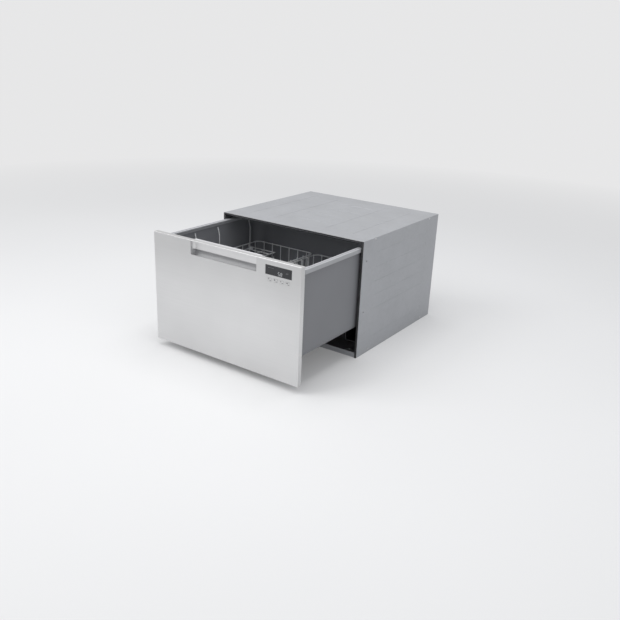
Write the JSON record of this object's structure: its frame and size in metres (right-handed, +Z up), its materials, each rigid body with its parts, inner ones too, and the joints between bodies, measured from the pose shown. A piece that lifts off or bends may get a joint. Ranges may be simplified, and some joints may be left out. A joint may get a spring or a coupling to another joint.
{
  "type": "dishwasher drawer",
  "caption": "Built-in dishwasher drawer: a steel front with a recessed handle and a deep racked tub slide out of a sheet-metal chassis on telescopic rails, under a drop-down lid.",
  "frame": {"origin": "centre of the chassis base underside, on the shelf it stands on", "axes": "+X to the right seen from the front, +Y into the cabinet towards the connections, +Z up"},
  "size_m": [0.599, 0.8976, 0.41],
  "materials": {
    "stainless": "fine horizontal brushing, satin",
    "galvanised": "dull zinc-coated sheet",
    "rail_steel": "black zinc plate, satin",
    "screw_steel": "bright plated",
    "soft_trim": "matt",
    "seal_rubber": "matt",
    "tub_plastic": "fine moulded grain",
    "lid_plastic": "satin",
    "drive_plastic": "satin",
    "carrier_plastic": "satin",
    "pocket_plastic": "metallic painted, satin",
    "grip_metal": "satin",
    "smoked_lens": "gloss",
    "board": "lacquered",
    "key_metal": "satin",
    "heater_steel": "heat tinted",
    "pump_plastic": "satin",
    "hose_rubber": "ribbed, matt",
    "filter_steel": "pierced, satin",
    "filter_plastic": "satin",
    "arm_plastic": "satin",
    "cup_plastic": "satin",
    "cap_plastic": "satin",
    "coated_wire": "nylon coated, satin",
    "basket_plastic": "satin"
  },
  "bodies": {
    "chassis": {"base_pan": "galvanised", "side_panel_right": "galvanised", "side_panel_left": "galvanised", "back_panel": "galvanised", "top_panel": "galvanised", "edge_trim": "soft_trim", "chassis_screws": "screw_steel", "outer_rail_right": "rail_steel", "outer_rail_left": "rail_steel", "lid_actuators": "drive_plastic", "inlet_valve": "pump_plastic", "drain_outlet": "pump_plastic", "mains_gland": "drive_plastic", "service_loop": "hose_rubber"},
    "middle_rails": {"middle_rail_right": "rail_steel", "middle_rail_left": "rail_steel"},
    "outer_cages": {"outer_ball_cages": "rail_steel"},
    "inner_cages": {"inner_ball_cages": "rail_steel"},
    "drawer": {"front_skin": "stainless", "front_carrier": "carrier_plastic", "front_screws": "screw_steel", "handle_pocket": "pocket_plastic", "grip_bar": "grip_metal", "display_lens": "smoked_lens", "control_board": "board", "tub": "tub_plastic", "tub_cradle": "rail_steel", "inner_rail_right": "rail_steel", "inner_rail_left": "rail_steel", "sump": "pump_plastic", "drain_hose": "hose_rubber", "heater_plate": "heater_steel", "wash_motor": "drive_plastic", "drain_pump": "pump_plastic", "filter_plate": "filter_steel", "dispenser_body": "cup_plastic", "rack_right": "coated_wire", "rack_left": "coated_wire", "cutlery_basket": "basket_plastic"},
    "lid": {"lid_panel": "lid_plastic", "lid_seal": "seal_rubber"},
    "crank_front_right": {"lid_crank_front_right": "drive_plastic"},
    "crank_front_left": {"lid_crank_front_left": "drive_plastic"},
    "crank_rear_right": {"lid_crank_rear_right": "drive_plastic"},
    "crank_rear_left": {"lid_crank_rear_left": "drive_plastic"},
    "bar_right": {"lid_bar_right": "rail_steel"},
    "bar_left": {"lid_bar_left": "rail_steel"},
    "spray_arm": {"spray_arm": "arm_plastic"},
    "wash_impeller": {"wash_impeller": "arm_plastic"},
    "key_power": {"key_power": "key_metal"},
    "key_program": {"key_program": "key_metal"},
    "key_option": {"key_option": "key_metal"},
    "key_start": {"key_start": "key_metal"},
    "dispenser_lid": {"dispenser_lid": "cup_plastic"},
    "rinse_cap": {"rinse_cap": "cap_plastic"},
    "drain_filter": {"drain_filter": "filter_plastic"},
    "tine_row_right": {"tine_row_right": "coated_wire"},
    "tine_row_left": {"tine_row_left": "coated_wire"},
    "cup_rack_right": {"cup_rack_right": "coated_wire"},
    "cup_rack_left": {"cup_rack_left": "coated_wire"}
  },
  "joints": [
    {"name": "drawer_slide", "type": "slide", "parent": "chassis", "child": "drawer", "axis": [0, -1, 0], "range_m": [-0.3243, 0.1757], "deforming": ["service_loop"]},
    {"name": "middle_rail_slide", "type": "slide", "parent": "chassis", "child": "middle_rails", "axis": [0, -1, 0], "range_m": [-0.16215, 0.08785]},
    {"name": "outer_cage_slide", "type": "slide", "parent": "chassis", "child": "outer_cages", "axis": [0, -1, 0], "range_m": [-0.08107, 0.04392]},
    {"name": "inner_cage_slide", "type": "slide", "parent": "chassis", "child": "inner_cages", "axis": [0, -1, 0], "range_m": [-0.24322, 0.13178]},
    {"name": "lid_drop", "type": "slide", "parent": "chassis", "child": "lid", "axis": [0, 0, 1], "range_m": [-0.007, 0]},
    {"name": "crank_front_right_turn", "type": "hinge", "parent": "chassis", "child": "crank_front_right", "pos_m": [0.2921, -0.2, 0.397], "axis": [1, 0, 0], "range_deg": [-17, 0]},
    {"name": "crank_front_left_turn", "type": "hinge", "parent": "chassis", "child": "crank_front_left", "pos_m": [-0.2921, -0.2, 0.397], "axis": [1, 0, 0], "range_deg": [-17, 0]},
    {"name": "crank_rear_right_turn", "type": "hinge", "parent": "chassis", "child": "crank_rear_right", "pos_m": [0.2921, 0.18, 0.397], "axis": [1, 0, 0], "range_deg": [-17, 0]},
    {"name": "crank_rear_left_turn", "type": "hinge", "parent": "chassis", "child": "crank_rear_left", "pos_m": [-0.2921, 0.18, 0.397], "axis": [1, 0, 0], "range_deg": [-17, 0]},
    {"name": "bar_right_slide", "type": "slide", "parent": "chassis", "child": "bar_right", "axis": [0, 1, 0], "range_m": [-0.0071, 0]},
    {"name": "bar_left_slide", "type": "slide", "parent": "chassis", "child": "bar_left", "axis": [0, 1, 0], "range_m": [-0.0071, 0]},
    {"name": "spray_arm_spin", "type": "hinge", "parent": "drawer", "child": "spray_arm", "pos_m": [0, -0.3423, 0.135], "axis": [0, 0, 1], "continuous": true},
    {"name": "impeller_spin", "type": "hinge", "parent": "drawer", "child": "wash_impeller", "pos_m": [0, -0.3423, 0.07], "axis": [0, 0, 1], "continuous": true},
    {"name": "key_power_press", "type": "slide", "parent": "drawer", "child": "key_power", "axis": [0, 1, 0], "range_m": [0, 0.0006], "stiffness_N_per_m": 1200},
    {"name": "key_program_press", "type": "slide", "parent": "drawer", "child": "key_program", "axis": [0, 1, 0], "range_m": [0, 0.0006], "stiffness_N_per_m": 1200},
    {"name": "key_option_press", "type": "slide", "parent": "drawer", "child": "key_option", "axis": [0, 1, 0], "range_m": [0, 0.0006], "stiffness_N_per_m": 1200},
    {"name": "key_start_press", "type": "slide", "parent": "drawer", "child": "key_start", "axis": [0, 1, 0], "range_m": [0, 0.0006], "stiffness_N_per_m": 1200},
    {"name": "dispenser_lid_slide", "type": "slide", "parent": "drawer", "child": "dispenser_lid", "axis": [1, 0, 0], "range_m": [0, 0.054]},
    {"name": "rinse_cap_turn", "type": "hinge", "parent": "drawer", "child": "rinse_cap", "pos_m": [0.178, -0.5828, 0.309], "axis": [0, 1, 0], "range_deg": [0, 90]},
    {"name": "drain_filter_turn", "type": "hinge", "parent": "drawer", "child": "drain_filter", "pos_m": [0.046, -0.3023, 0.11], "axis": [0, 0, 1], "range_deg": [0, 90]},
    {"name": "tine_row_right_fold", "type": "hinge", "parent": "drawer", "child": "tine_row_right", "pos_m": [0.1544, -0.3403, 0.166], "axis": [0, 1, 0], "range_deg": [0, 86]},
    {"name": "tine_row_left_fold", "type": "hinge", "parent": "drawer", "child": "tine_row_left", "pos_m": [-0.1544, -0.3403, 0.166], "axis": [0, -1, 0], "range_deg": [0, 86]},
    {"name": "cup_rack_right_fold", "type": "hinge", "parent": "drawer", "child": "cup_rack_right", "pos_m": [0.253, -0.3423, 0.262], "axis": [0, 1, 0], "range_deg": [0, 86]},
    {"name": "cup_rack_left_fold", "type": "hinge", "parent": "drawer", "child": "cup_rack_left", "pos_m": [-0.253, -0.3423, 0.262], "axis": [0, -1, 0], "range_deg": [0, 86]}
  ],
  "couplings": [
    {"joint": "middle_rail_slide", "follows": "drawer_slide", "ratio": 0.5},
    {"joint": "outer_cage_slide", "follows": "drawer_slide", "ratio": 0.25},
    {"joint": "inner_cage_slide", "follows": "drawer_slide", "ratio": 0.75},
    {"joint": "crank_front_right_turn", "follows": "lid_drop", "rad_per_m": 41.816},
    {"joint": "crank_front_left_turn", "follows": "lid_drop", "rad_per_m": 41.816},
    {"joint": "crank_rear_right_turn", "follows": "lid_drop", "rad_per_m": 41.816},
    {"joint": "crank_rear_left_turn", "follows": "lid_drop", "rad_per_m": 41.816},
    {"joint": "bar_right_slide", "follows": "lid_drop", "ratio": 1},
    {"joint": "bar_left_slide", "follows": "lid_drop", "ratio": 1}
  ]
}
